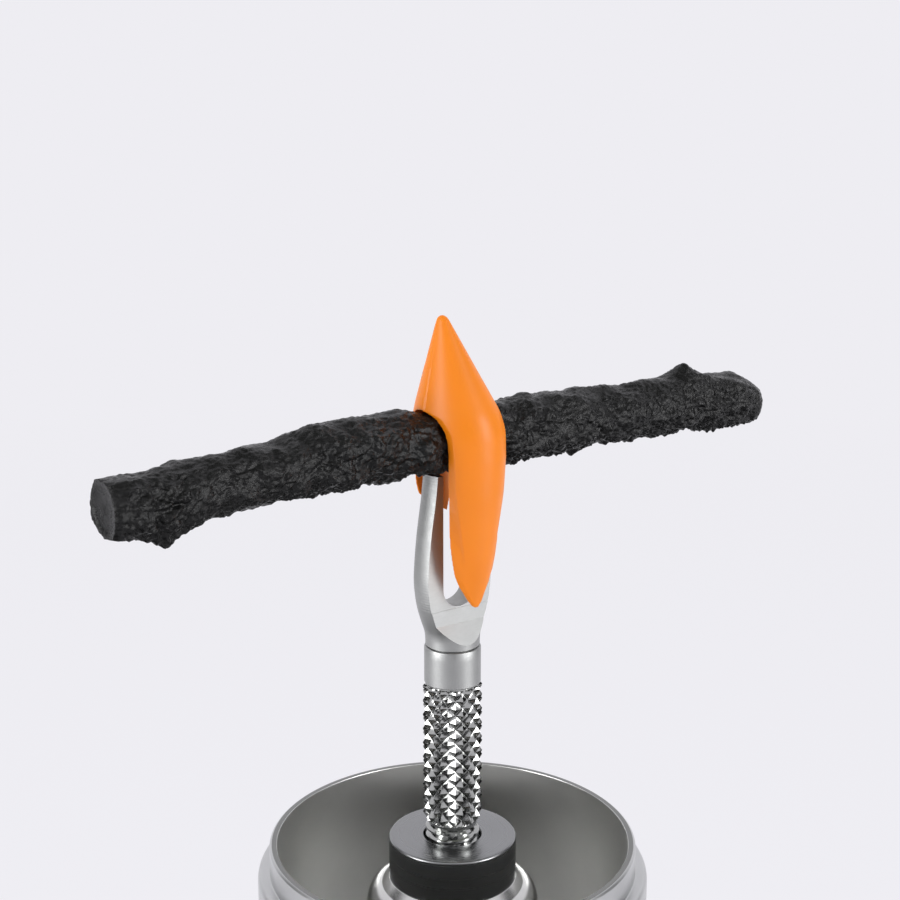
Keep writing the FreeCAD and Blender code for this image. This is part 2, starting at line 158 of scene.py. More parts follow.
class PLUGTOOL_PG_post(bpy.types.PropertyGroup):
    neck: length("Neck radius", "Radius of the bush's neck inside the post", 3.3)
    bore: length("Bore radius", "Radius of the threaded hole", 2.0)
    mouth: length("Mouth radius", "Radius of the hole's mouth", 2.14)
    bore_depth: length("Bore depth", "Depth of the threaded hole", 8.6)
    ledge: length("Ledge", "Width of the bevel round the bush", 0.54)
    ledge_drop: length("Ledge drop", "Fall of the bevel round the bush", 0.56)
    shoulder: length("Shoulder", "Height of the rounded shoulder", 1.7)
    polish: colour("Post", "Polished stainless steel", "#D6D6D4")
    bush: colour("Bush", "Grey anodised aluminium", "#939495")


class PLUGTOOL_PG_rod(bpy.types.PropertyGroup):
    knurl_starts: IntProperty(name="Knurl starts", description="Diamonds round the rod",
                              default=12, min=6, max=30)
    knurl_pitch: length("Knurl pitch", "Height of one diamond", 1.07)
    knurl_depth: length("Knurl depth", "Depth of the knurl's grooves", 0.36)
    thread_pitch: length("Thread pitch", "Pitch of the stud's thread", 0.7)
    thread_depth: length("Thread depth", "Depth of the stud's thread", 0.3)
    ridge_pitch: length("Ridge pitch", "Pitch of the turning ridges on the fork", 0.2)
    ridge_depth: length("Ridge depth", "Depth of the turning ridges on the fork", 0.012)
    steel: colour("Steel", "Hardened steel of the knurled rod", "#B0B1AF")
    fork: colour("Fork", "Milled steel of the fork", "#B2B3B2")


class PLUGTOOL_PG_nose(bpy.types.PropertyGroup):
    clearance: length("Eye clearance", "Plug to the walls of the eye", 0.1)
    edge: length("Mesh size", "Cell of the mesh that the moulded tip is made from", 0.065)
    seam: length("Seam", "Step of the mould's parting line beside the eye", 0.09)
    plastic: colour("Plastic", "Half-gloss orange plastic", "#E67E0C")


class PLUGTOOL_PG_rope(bpy.types.PropertyGroup):
    crinkle: length("Crinkle", "Height of the crinkles in the tarred surface", 0.5)
    grain: length("Grain", "Height of the fine grain", 0.13)
    tar: colour("Tar", "Tarred rope", "#090909")


class PLUGTOOL_PG_stage(bpy.types.PropertyGroup):
    lens: FloatProperty(name="Lens", description="Focal length on a 36 mm sensor",
                        default=63.32, unit="CAMERA")
    azimuth: FloatProperty(name="Azimuth", description="Camera's turn about the tool",
                           default=math.radians(-35.9), subtype="ANGLE")
    pitch: FloatProperty(name="Pitch", description="Camera's tilt below the horizon",
                         default=math.radians(12.96), subtype="ANGLE")
    reach: length("Reach", "Camera's distance from the tool's axis", 106.3)
    height: length("Height", "Camera's height over the hub", 53.1)
    backdrop: colour("Backdrop", "Pale floor and backdrop", "#EEEDF2")


def in_mm(group):
    """The lengths of a property group, in millimetres."""
    lengths = [p.identifier for p in group.bl_rna.properties if getattr(p, "unit", "") == "LENGTH"]
    return SimpleNamespace(**{name: getattr(group, name) / MM for name in lengths})


# ---------------------------------------------------------------- meshes
def rounded(outline, bends=6):
    """Points of an outline of (radius, height, rounding) corners, with each corner eased."""
    points = []
    for i, (r, z, ease) in enumerate(outline):
        corner = np.array([r, z])
        if not ease:
            points.append(corner)
            continue
        before = np.array(outline[i - 1][:2]) - corner
        after = np.array(outline[(i + 1) % len(outline)][:2]) - corner
        start = corner + before * min(ease / np.linalg.norm(before), 0.48)
        end = corner + after * min(ease / np.linalg.norm(after), 0.48)
        for t in np.linspace(0, 1, bends + 1):
            points.append((1 - t) ** 2 * start + 2 * t * (1 - t) * corner + t ** 2 * end)
    return points


def mesh_object(name, points, faces):
    """A new object in the scene from points and faces."""
    mesh = bpy.data.meshes.new(name)
    mesh.from_pydata([tuple(p) for p in points], [], faces)
    mesh.validate()
    made = bpy.data.objects.new(name, mesh)
    bpy.context.scene.collection.objects.link(made)
    return made


def plain_split(_row, _column):
    """Leaves every cell whole."""
    return None


def turned(name, outline, steps=STEPS, relief=None, split=plain_split):
    """Closed turned solid from an outline of (radius, height) points that runs anticlockwise.

    relief(radius, height, angle) may change a radius, and split(row, column) may say which way
    a cell is split: 1 on the rising diagonal, -1 on the falling one, None for a whole cell.
    """
    points = []
    rings = []
    for r, z in outline:
        if r < 1e-6:
            rings.append([len(points)] * steps)
            points.append((0.0, 0.0, z))
            continue
        rings.append(list(range(len(points), len(points) + steps)))
        for k in range(steps):
            angle = math.tau * k / steps
            reach = relief(r, z, angle) if relief else r
            points.append((reach * math.cos(angle), reach * math.sin(angle), z))
    faces = []
    for row, low in enumerate(rings):
        high = rings[(row + 1) % len(rings)]
        for k in range(steps):
            n = (k + 1) % steps
            cell = (low[k], low[n], high[n], high[k])
            way = split(row, k)
            if way == 1:
                cells = [(cell[0], cell[1], cell[2]), (cell[0], cell[2], cell[3])]
            elif way == -1:
                cells = [(cell[0], cell[1], cell[3]), (cell[1], cell[2], cell[3])]
            else:
                cells = [cell]
            for corners in cells:
                kept = list(dict.fromkeys(corners))
                if len(kept) > 2:
                    faces.append(kept)
    return mesh_object(name, points, faces)


def lofted(name, points, around):
    """Closed solid from rings of points, with around points in each ring."""
    faces = [list(range(around))[::-1], list(range(len(points) - around, len(points)))]
    for low in range(0, len(points) - around, around):
        high = low + around
        for k in range(around):
            n = (k + 1) % around
            faces.append([low + k, low + n, high + n, high + k])
    made = mesh_object(name, points, faces)
    tidy_normals(made)
    return made


def prism(name, outline, low, high, axis):
    """Prism along X or Y, low and high, from an outline of the other two coordinates."""
    points = []
    for level in (low, high):
        for u, v in outline:
            points.append((level, u, v) if axis == "X" else (u, level, v))
    return lofted(name, points, len(outline))


def tidy_normals(made):
    """Turns every face outwards."""
    work = bmesh.new()
    work.from_mesh(made.data)
    bmesh.ops.recalc_face_normals(work, faces=work.faces)
    work.to_mesh(made.data)
    work.free()


def applied(made):
    """Replaces an object's mesh by what its modifiers make of it."""
    graph = bpy.context.evaluated_depsgraph_get()
    made.data = bpy.data.meshes.new_from_object(made.evaluated_get(graph))
    made.modifiers.clear()


def carve(made, cutter, operation="DIFFERENCE"):
    """Cuts with another object, or keeps or adds what they share, and removes it."""
    step = made.modifiers.new("carve", "BOOLEAN")
    step.operation = operation
    step.solver = "EXACT"
    step.object = cutter
    applied(made)
    bpy.data.objects.remove(cutter)


def even_shading(made, angle=SMOOTH_ANGLE):
    """Smooth shading that keeps real edges sharp and flat faces flat."""
    made.data.shade_smooth()
    made.data.set_sharp_from_angle(angle=angle)
    step = made.modifiers.new("flat_faces", "WEIGHTED_NORMAL")
    step.keep_sharp = True


def place(made, body, finish, slot, *nodes):
    """Turns a piece to metres, gives it its finish and sets it on its body for its CAD nodes."""
    made.data.transform(Matrix.Scale(MM, 4))
    made.data.materials.clear()
    made.data.materials.append(finish)
    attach(made, body)
    if nodes:
        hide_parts(*nodes)


def repaint(made, finish, picked):
    """Gives some faces of a placed piece a second finish."""
    made.data.materials.append(finish)
    slot = len(made.data.materials) - 1
    for index in picked:
        made.data.polygons[index].material_index = slot


def store(made, angle, height):
    """Moves a spare to its place in the rack."""
    across = (STORE_R * math.cos(angle), STORE_R * math.sin(angle))
    made.data.transform(Matrix.Translation((*across, height)))


def paint(node, finish):
    """Gives a CAD node that stays in view its finish."""
    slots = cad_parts[node].data.materials
    slots.clear()
    slots.append(finish)


def tri(x):
    """Triangle wave from 0 at whole numbers to 1 half way between them."""
    return 1 - abs(2 * (x - math.floor(x)) - 1)


def eased(at, places, values, width):
    """Straight runs between given places, with their corners eased over a width."""
    offsets = np.linspace(-width / 2, width / 2, 9)
    return np.mean([np.interp(at + o, places, values) for o in offsets], axis=0)


# ---------------------------------------------------------------- node materials
def add(tree, kind, inputs=None, **settings):
    """Adds a node with its settings; each input is a value or a socket to link."""
    node = tree.nodes.new(kind)
    for name, value in settings.items():
        setattr(node, name, value)
    for key, value in (inputs or {}).items():
        if isinstance(value, bpy.types.NodeSocket):
            tree.links.new(value, node.inputs[key])
        else:
            node.inputs[key].default_value = value
    return node


def material(name, **values):
    """A material with one Principled shader whose constants are set on its own sockets."""
    made = bpy.data.materials.new(name)
    made.use_nodes = True
    tree = made.node_tree
    shader = tree.nodes["Principled BSDF"]
    for key, value in values.items():
        shader.inputs[key.replace("_", " ")].default_value = value
    return made, tree, shader


def place_in_mm(tree):
    """Socket with the place on the object in millimetres."""
    where = add(tree, "ShaderNodeTexCoord")
    return add(tree, "ShaderNodeVectorMath", {0: where.outputs["Object"], "Scale": 1 / MM},
               operation="SCALE").outputs[0]


def ring_place(tree):
    """Socket with (radius, height) in millimetres, the same all the way round the tool's axis."""
    parts = add(tree, "ShaderNodeSeparateXYZ", {0: place_in_mm(tree)}).outputs
    flat = add(tree, "ShaderNodeCombineXYZ", {0: parts[0], 1: parts[1]}).outputs[0]
    radius = add(tree, "ShaderNodeVectorMath", {0: flat}, operation="LENGTH").outputs["Value"]
    return add(tree, "ShaderNodeCombineXYZ", {0: radius, 1: parts[2]}).outputs[0]


def grain(tree, where, size, detail=3.0, roughness=0.55):
    """Socket with noise whose grains are about size millimetres."""
    return add(tree, "ShaderNodeTexNoise", {"Vector": where, "Scale": 1 / size, "Detail": detail,
                                            "Roughness": roughness}).outputs[0]


def spread(tree, source, low, high):
    """Socket that maps 0.3..0.7 of a noise to low..high."""
    return add(tree, "ShaderNodeMapRange", {0: source, 1: 0.3, 2: 0.7, 3: low, 4: high}).outputs[0]


def bump(tree, height, depth, below=None):
    """Socket with the normal over a height, whose depth is in millimetres."""
    inputs = {"Height": height, "Distance": depth * MM, "Strength": 1.0}
    if below is not None:
        inputs["Normal"] = below
    return add(tree, "ShaderNodeBump", inputs).outputs[0]


def mixed(tree, factor, first, second):
    """Socket with a colour between two."""
    return add(tree, "ShaderNodeMix", {0: factor, 6: first, 7: second}, data_type="RGBA").outputs[2]


def shade(tone, share):
    """A colour made darker or lighter by a share of itself."""
    return [min(1.0, c * share) for c in tone[:3]] + [1.0]


def link(tree, shader, tint, roughness, normal):
    """Links a shader's colour, roughness and normal."""
    tree.links.new(tint, shader.inputs["Base Color"])
    tree.links.new(roughness, shader.inputs["Roughness"])
    tree.links.new(normal, shader.inputs["Normal"])


def turned_metal(name, tone, roughness, streak, ring, depth):
    """Lathe-turned metal: faint tool rings all round, with reflections stretched along them."""
    made, tree, shader = material(name, Metallic=1.0, Anisotropic=streak)
    rings = ring_place(tree)
    fine = grain(tree, rings, ring, 2.0)
    broad = grain(tree, place_in_mm(tree), 3.0)
    add_to = tree.links.new
    add_to(mixed(tree, broad, shade(tone, 0.94), shade(tone, 1.05)), shader.inputs["Base Color"])
    add_to(spread(tree, fine, roughness * 0.93, roughness * 1.08), shader.inputs["Roughness"])
    add_to(bump(tree, fine, depth), shader.inputs["Normal"])
    tangent = add(tree, "ShaderNodeTangent", direction_type="RADIAL", axis="Z")
    add_to(tangent.outputs[0], shader.inputs["Tangent"])
    return made


def anodised_aluminium(name, tone):
    # clear anodised aluminium, turned and lightly blasted: satin, with the faintest rings
    return turned_metal(name, tone, 0.3, 0.5, 0.08, 0.00006)


def bored_aluminium(name, tone):
    # aluminium cut with a single-point tool: bare and satin, with blurred reflections
    return turned_metal(name, tone, 0.32, 0.6, 0.08, 0.00006)


def polished_stainless(name, tone):
    # polished stainless steel: soft bright reflections with the faintest rings
    return turned_metal(name, tone, 0.24, 0.4, 0.1, 0.00006)


def grey_anodised(name, tone):
    # grey anodised aluminium, faced and turned: blurred reflections and the faintest rings
    return turned_metal(name, tone, 0.26, 0.4, 0.08, 0.00006)


def knurled_steel(name, tone):
    # hardened steel with a rolled knurl and bright plating: clear reflections, faint fine scratches
    made, tree, shader = material(name, Metallic=1.0)
    where = place_in_mm(tree)
    broad = grain(tree, where, 1.2)
    fine = grain(tree, where, 0.12)
    link(tree, shader, mixed(tree, broad, shade(tone, 0.9), shade(tone, 1.06)),
         spread(tree, fine, 0.1, 0.2),
         bump(tree, fine, 0.003))
    return made


def milled_steel(name, tone):
    # stainless steel, turned and then milled: satin grey, level marks 0.1 mm apart and 0.4 mm long
    made, tree, shader = material(name, Metallic=1.0)
    where = place_in_mm(tree)
    stretched = add(tree, "ShaderNodeVectorMath", {0: where, 1: (0.25, 0.25, 1.0)},
                    operation="MULTIPLY").outputs[0]
    marks = grain(tree, stretched, 0.1)
    broad = grain(tree, where, 1.5)
    link(tree, shader, mixed(tree, broad, shade(tone, 0.9), shade(tone, 1.05)),
         spread(tree, marks, 0.42, 0.54),
         bump(tree, marks, 0.0008))
    return made


def zinc_steel(name, tone):
    # zinc plated steel: dull blue-grey with soft cloudy patches about 1 mm wide
    made, tree, shader = material(name, Metallic=1.0)
    clouds = grain(tree, place_in_mm(tree), 1.0, 4.0)
    link(tree, shader, mixed(tree, clouds, shade(tone, 0.75), shade(tone, 1.1)),
         spread(tree, clouds, 0.3, 0.45),
         bump(tree, clouds, 0.01))
    return made


def gloss_polypropylene(name, tone):
    # injection-moulded polypropylene: half gloss, a little light passes in, faint flow ripples
    made, tree, shader = material(name, IOR=1.49, Specular_IOR_Level=0.4, Subsurface_Weight=0.06,
                                  Subsurface_Scale=0.0012)
    shader.inputs["Subsurface Radius"].default_value = (1.0, 0.35, 0.08)
    where = place_in_mm(tree)
    broad = grain(tree, where, 3.0, 1.0)
    fine = grain(tree, where, 0.08)
    ripples = bump(tree, broad, 0.02)
    link(tree, shader, mixed(tree, broad, shade(tone, 0.96), shade(tone, 1.03)),
         spread(tree, broad, 0.38, 0.46),
         bump(tree, fine, 0.0012, ripples))
    return made


def tarred_rope(name, tone):
    # rayon rope soaked in tacky rubber: near black, wet in patches 1 mm wide, pits 0.3 mm and finer
    made, tree, shader = material(name, IOR=1.5, Specular_IOR_Level=0.3)
    where = place_in_mm(tree)
    patches = grain(tree, where, 1.1, 4.0)
    pits = grain(tree, where, 0.3, 5.0, 0.7)
    dust = add(tree, "ShaderNodeMapRange", {0: pits, 1: 0.5, 2: 0.7, 3: 0.0, 4: 0.7}).outputs[0]
    link(tree, shader, mixed(tree, dust, tone, linear(ROPE_DUST)),
         spread(tree, patches, 0.14, 0.36),
         bump(tree, pits, 0.07))
    return made


def seal_rubber(name, tone):
    # moulded nitrile rubber: matt black with a faint bloom
    made, tree, shader = material(name, IOR=1.5)
    bloom = grain(tree, place_in_mm(tree), 0.5)
    link(tree, shader, mixed(tree, bloom, tone, shade(tone, 2.0)),
         spread(tree, bloom, 0.5, 0.65),
         bump(tree, bloom, 0.008))
    return made


def spark_textured_nylon(name, tone):
    # moulded nylon with a spark-eroded texture 0.2 mm wide: matt dark grey
    made, tree, shader = material(name, IOR=1.53)
    texture = grain(tree, place_in_mm(tree), 0.2, 4.0)
    link(tree, shader, mixed(tree, texture, shade(tone, 0.8), shade(tone, 1.2)),
         spread(tree, texture, 0.45, 0.6),
         bump(tree, texture, 0.02))
    return made


def finish(maker, name, tone):
    """A material made once and found again by name."""
    return bpy.data.materials.get(name) or maker(name, [*tone, 1.0][:4])


# ---------------------------------------------------------------- handle and end cap
class PLUGTOOL_OT_handle(bpy.types.Operator):
    """Turned handle: open cup with the lid's spigot, and the storage space under it"""
    bl_idname = "plugtool.handle"
    bl_label = "Handle"

    def execute(self, context):
        group = context.scene.plugtool_handle
        s = in_mm(group)
        spigot = HANDLE_R - s.spigot_step
        cup = spigot - s.spigot_wall
        chamber = HANDLE_R - s.chamber_wall
        foot = HANDLE_LOW.z
        shoulder = RIM - s.spigot_height
        roof = CUP_FLOOR - s.floor
        made = turned("handle_tube", rounded([
            (chamber, foot, 0.2),
            (HANDLE_R - s.seam_chamfer, foot, 0.08),
            (HANDLE_R, foot + s.seam_chamfer, 0.15),
            (HANDLE_R, shoulder, s.shoulder_round),
            (spigot, shoulder, 0.12),
            (spigot, RIM - s.rim_chamfer, 0.07),
            (spigot - s.rim_chamfer, RIM, 0.07),
            (cup, RIM, 0.09),
            (cup, CUP_FLOOR, 0.5),
            (STUD_HOLE_R, CUP_FLOOR, 0.0),
            (STUD_HOLE_R, roof, 0.1),
            (chamber, roof, 0.4),
        ]))
        even_shading(made)
        metal = finish(anodised_aluminium, "clear_anodised_aluminium", group.metal)
        faces = made.data.polygons
        inside = [face.index for face in faces if face.center.z > CUP_FLOOR - 0.01
                  and face.center.xy.length < cup + 0.06]
        rim = [face.index for face in faces if face.center.z > RIM - 0.01]
        place(made, "handle", metal, "handle_aluminium", "handle_body")
        repaint(made, finish(bored_aluminium, "bored_aluminium", linear(BORED)), inside)
        # the rim's flat top gets the darker copy of the bored aluminium: painted shade
        repaint(made, finish(bored_aluminium, "faced_aluminium", linear(RIM_PAINTED_SHADE)), rim)
        return {"FINISHED"}


class PLUGTOOL_OT_end_cap(bpy.types.Operator):
    """Screw cap that the tool stands on, with a fluted grip band and its seal"""
    bl_idname = "plugtool.end_cap"
    bl_label = "End cap"

    def execute(self, context):
        group = context.scene.plugtool_handle
        s = in_mm(group)
        ring_low, ring_high = span("cap_oring")
        head = HANDLE_LOW.z
        ring_d = ring_high.z - ring_low.z
        outer = HANDLE_R - s.chamber_wall - 0.05
        groove = ring_high.x - ring_d
        inner = ring_high.x - s.cap_wall
        rack_foot = span("plug_rack")[0].z
        band_low, band_high = 0.22 * head, 0.78 * head
        fade = 0.35
        foot_groove = ((2.6, 0.0), (2.4, 0.25), (2.0, 0.25), (1.8, 0.0))
        corner = 0.8

        def flutes(r, z, angle):
            near = min(1.0, max(0.0, min(z - band_low, band_high - z) / fade))
            if r < HANDLE_R - 0.01 or near == 0.0:
                return r
            wave = 0.5 - 0.5 * math.cos(angle * group.grip_flutes)
            return r - s.grip_depth * near * wave

        band = [(HANDLE_R, z, 0.0) for z in np.linspace(band_low, band_high, 17)]
        made = turned("screw_cap", rounded([
            (0.0, 0.0, 0.0),
            *((HANDLE_R - inset, z, 0.1) for inset, z in foot_groove),
            (HANDLE_R - corner, 0.0, 0.3),
            (HANDLE_R, corner, 0.3),
            *band,
            (HANDLE_R, head - s.seam_chamfer, 0.15),
            (HANDLE_R - s.seam_chamfer, head, 0.08),
            (outer, head, 0.1),
            (outer, ring_low.z, 0.1),
            (groove, ring_low.z, 0.1),
            (groove, ring_high.z, 0.1),
            (outer, ring_high.z, 0.1),
            (outer, CAP_TOP, 0.3),
            (inner, CAP_TOP, 0.2),
            (inner, rack_foot, 0.0),
            (0.0, rack_foot, 0.0),
        ], 4), steps=group.grip_flutes * 8, relief=flutes)
        even_shading(made, math.radians(40))
        metal = finish(anodised_aluminium, "clear_anodised_aluminium", group.metal)
        place(made, "cap", metal, "cap_aluminium", "end_cap")
        paint("cap_oring", finish(seal_rubber, "nitrile_rubber", linear(RUBBER)))
        return {"FINISHED"}


# ---------------------------------------------------------------- post and bush
class PLUGTOOL_OT_post(bpy.types.Operator):
    """Polished post with its grey bush, seal, washer and nut"""
    bl_idname = "plugtool.post"
    bl_label = "Post and bush"

    def execute(self, context):
        group = context.scene.plugtool_post
        s = in_mm(group)
        ledge_r = BUSH_R + s.ledge
        ledge_z = POST_TOP - s.ledge_drop
        shoulder_foot = ledge_z - s.shoulder
        neck_foot = BUSH_LOW.z
        stud = STUD_HOLE_R - 0.05
        bevel = 0.13
        lead_r = s.mouth - 0.05
        dome = []
        for t in np.linspace(0, 1, 15):
            angle = t * math.pi / 2
            dome.append((ledge_r + (POST_R - ledge_r) * math.cos(angle),
                         shoulder_foot + s.shoulder * math.sin(angle), 0.0))
        post = turned("polished_post", rounded([
            (0.0, POST_LOW.z, 0.0),
            (stud, POST_LOW.z, 0.3),
            (stud, POST_FOOT, 0.0),
            (POST_R, POST_FOOT, 0.2),
            *dome,
            (BUSH_R, POST_TOP, 0.05),
            (s.neck, POST_TOP, 0.0),
            (s.neck, neck_foot, 0.0),
            (0.0, neck_foot, 0.0),
        ]))
        even_shading(post)
        steel = finish(polished_stainless, "polished_stainless_steel", group.polish)
        place(post, "handle", steel, "polished_steel", "hub_post")
        bush = turned("threaded_bush", rounded([
            (0.0, neck_foot, 0.0),
            (s.neck, neck_foot, 0.0),
            (s.neck, POST_TOP, 0.0),
            (BUSH_R, POST_TOP, 0.0),
            (BUSH_R, HUB - bevel, 0.06),
            (BUSH_R - bevel, HUB, 0.06),
            (s.mouth, HUB, 0.04),
            (lead_r, HUB - 0.12, 0.0),
            (lead_r, HUB - 0.5, 0.0),
            (s.bore, HUB - 0.65, 0.0),
            (s.bore, HUB - s.bore_depth, 0.0),
            (0.0, HUB - s.bore_depth, 0.0),
        ]))
        even_shading(bush)
        grey = finish(grey_anodised, "grey_anodised_aluminium", group.bush)
        place(bush, "handle", grey, "dark_anodised", "hub_bush")
        zinc = finish(zinc_steel, "zinc_plated_steel", linear(ZINC))
        paint("post_nut", zinc)
        paint("post_washer", zinc)
        paint("post_seal", finish(seal_rubber, "nitrile_rubber", linear(RUBBER)))
        return {"FINISHED"}


# ---------------------------------------------------------------- push rod and fork
class PLUGTOOL_OT_rod(bpy.types.Operator):
    """Knurled rod with its threaded stud"""
    bl_idname = "plugtool.rod"
    bl_label = "Push rod"

    def execute(self, context):
        group = context.scene.plugtool_rod
        s = in_mm(group)
        cells = 8
        steps = group.knurl_starts * cells
        foot = SHANK_LOW.z - HUB
        top = SHANK_HIGH.z - HUB
        stud_r, relief_r, neck_r = 1.95, 1.72, 2.02
        thread_top, knurl_foot, knurl_top = 0.75, 1.25, 11.6
        chamfer, bevel = 0.35, 0.12
        root_r = KNURL_R - s.knurl_depth
        rows = max(1, round((knurl_top - knurl_foot) / s.knurl_pitch * cells))
        outline = [(0.0, foot), (stud_r - chamfer, foot)]
        for z in np.arange(foot + chamfer, thread_top, s.thread_pitch / 12):
            outline.append((stud_r, z))
        outline.append((relief_r, thread_top + 0.1))
        first = len(outline)
        for z in np.linspace(knurl_foot, knurl_top, rows + 1):
            outline.append((KNURL_R, z))
        last = len(outline) - 1
        outline += [(root_r + 0.02, knurl_top + 0.06), (root_r + 0.02, knurl_top + 0.16)]
        outline += [(neck_r - 0.03, knurl_top + 0.2), (neck_r, knurl_top + 0.26)]
        outline += [(neck_r, z) for z in np.linspace(knurl_top + 1, top - 0.12, 4)]
        outline += [(neck_r - 0.03, top - 0.04), (neck_r - 0.1, top), (TENON_R, top)]
        outline += [(TENON_R, top - TENON), (0.0, top - TENON)]
        start = knurl_foot + HUB

        def relief(r, z, angle):
            turn = angle / math.tau
            if z < HUB + thread_top:
                deep = min(1.0, 1.5 * tri((z - HUB) / s.thread_pitch - turn))
                return r - s.thread_depth * (1 - deep)
            if r < KNURL_R or not start - 1e-6 <= z <= HUB + knurl_top + 1e-6:
                return r
            row = (z - start) / s.knurl_pitch
            column = turn * group.knurl_starts
            crest = min(tri(column + row), tri(column - row))
            tapered = relief_r + bevel + (z - start)
            return min(root_r + s.knurl_depth * crest, tapered, KNURL_R - 0.015)

        def split(row, column):
            if not first <= row < last:
                return None
            return -1 if (row - first + column + 1) % cells == 0 else 1

        made = turned("knurled_rod", [(r, z + HUB) for r, z in outline], steps, relief, split)
        even_shading(made, math.radians(24))
        steel = finish(knurled_steel, "knurled_bright_steel", group.steel)
        neck = [face.index for face in made.data.polygons if face.center.z > HUB + knurl_top + 0.15]
        place(made, "push_rod", steel, "knurl_steel", "knurled_shank")
        repaint(made, finish(milled_steel, "milled_stainless_steel", group.fork), neck)
        return {"FINISHED"}


class PLUGTOOL_OT_fork(bpy.types.Operator):
    """Fork turned from bar, with two milled flats and a round-ended slot"""
    bl_idname = "plugtool.fork"
    bl_label = "Fork"

    def execute(self, context):
        group = context.scene.plugtool_rod
        s = in_mm(group)
        foot = SHANK_HIGH.z - HUB
        groove_r, groove = 1.72, 0.12
        half, deep, step_z = 0.92, 0.88, 17.5
        flat_foot, ramp_foot, ramp_r = 16.4, 14.92, 1.98
        slot, slot_foot = 2.84, 17.6
        profile = ((foot + groove, 1.93), (15.5, 1.95), (16.6, 2.33), (17.8, 2.67), (19.0, 2.83),
                   (19.8, 2.86), (21.3, 2.76), (22.9, 2.6), (24.3, 2.4), (25.5, 2.22), (FORK_TOP, 2.06))
        heights = np.arange(foot + groove, FORK_TOP, s.ridge_pitch / 4)
        radii = eased(heights, [z for z, _ in profile], [r for _, r in profile], 0.8)
        tenon_foot = FORK_LOW.z - HUB
        outline = [(0.0, tenon_foot), (TENON_R, tenon_foot), (TENON_R, foot), (groove_r, foot)]
        outline.append((groove_r, foot + groove - 0.05))
        for k, (z, r) in enumerate(zip(heights, radii)):
            ridge = s.ridge_depth * (k % 4 == 0) * (z > slot_foot)
            outline.append((min(r, FORK_R) - ridge, z))
        outline += [(profile[-1][1] - 0.06, FORK_TOP), (0.0, FORK_TOP)]
        made = turned("fork_prongs", [(r, z + HUB) for r, z in outline], 128)
        wide = 4.0
        above = FORK_TOP + 1
        for side in (-1, 1):
            ramp = [(half, flat_foot), (ramp_r, ramp_foot), (wide, ramp_foot), (wide, above), (half, above)]
            carve(made, prism("ramp", [(side * y, z + HUB) for y, z in ramp], -wide, wide, "X"))
            flat = [(deep, step_z), (wide, step_z), (wide, above), (deep, above)]
            carve(made, prism("flat", [(side * y, z + HUB) for y, z in flat], -wide, wide, "X"))
        centre = slot_foot + slot / 2
        arch = [(slot / 2, above)]
        for t in np.linspace(0, math.pi, 25):
            arch.append((slot / 2 * math.cos(t), centre - slot / 2 * math.sin(t)))
        arch.append((-slot / 2, above))
        carve(made, prism("slot", [(x, z + HUB) for x, z in arch], -wide, wide, "Y"))
        even_shading(made, math.radians(28))
        steel = finish(milled_steel, "milled_stainless_steel", group.fork)
        place(made, "push_rod", steel, "fork_steel", "fork_head")
        return {"FINISHED"}


# ---------------------------------------------------------------- nose tip
def nose_tip(name, cell, clearance, seam):
    """Moulded nose: oval and pointed, an eye for the plug, a long leg in front, a short one behind.

    It is returned in millimetres, with its heights over the hub.
    """
    wide, deep = 3.0, 3.6
    ovals = ((NOSE_FOOT, 0.60, 0.08, -0.50), (21.5, 0.80, 0.1, -0.52), (26.0, 0.965, 0.13, -0.55),
             (28.5, 1.0, 0.14, -0.56), (30.3, 1.0, 0.1, -0.52), (31.5, 0.925, 0.02, -0.45),
             (NOSE_TOP, 0.09, -0.58, 0.42))
    places = [o[0] for o in ovals]
    point = 0.32
    heights = np.concatenate([np.linspace(NOSE_FOOT - 0.02, NOSE_TOP - point, 90),
                              NOSE_TOP - point * (1 - np.sin(np.linspace(0.1, math.pi / 2, 10)))])
    shares, mids_x, mids_y = (eased(heights, places, [o[k] for o in ovals], 0.7) for k in (1, 2, 3))
    into = np.clip((heights - (NOSE_TOP - point)) / point, 0.0, 1.0)
    shares = shares * np.sqrt(np.maximum(1 - into ** 2, 0.0))
    around = 96
    points = []
    for z, share, x, y in zip(heights, shares, mids_x, mids_y):
        for k in range(around):
            angle = math.tau * k / around
            points.append((x + wide * share * math.cos(angle), y + deep * share * math.sin(angle), z))
    made = lofted(name, points, around)
    eye = PLUG_R + clearance
    arch = [(-eye, NOSE_FOOT - 1)]
    for t in np.linspace(math.pi, 0, 33):
        arch.append((eye * math.cos(t), PLUG_Z + eye * math.sin(t)))
    arch.append((eye, NOSE_FOOT - 1))
    carve(made, prism("eye", arch, -9, 9, "X"))
    carve(made, legs(eye), "INTERSECT")
    step = made.modifiers.new("mould", "REMESH")
    step.mode = "VOXEL"
    step.voxel_size = cell
    applied(made)
    ease = made.modifiers.new("ease", "SMOOTH")
    ease.factor = 0.5
    ease.iterations = max(2, round(0.11 / cell * 3))
    applied(made)
    add_seam(made, heights, mids_x, mids_y, seam)
    made.data.shade_smooth()
    return made


def leg_outline(widths):
    """Outline of the long leg from (height, half-width) pairs, opening out above the eye."""
    left = [(LEG_SHIFT - w, z) for z, w in widths]
    right = [(LEG_SHIFT + w, z) for z, w in reversed(widths)]
    return [(-LEG_CLEAR, OVER_NOSE), *left, *right, (LEG_CLEAR, OVER_NOSE)]


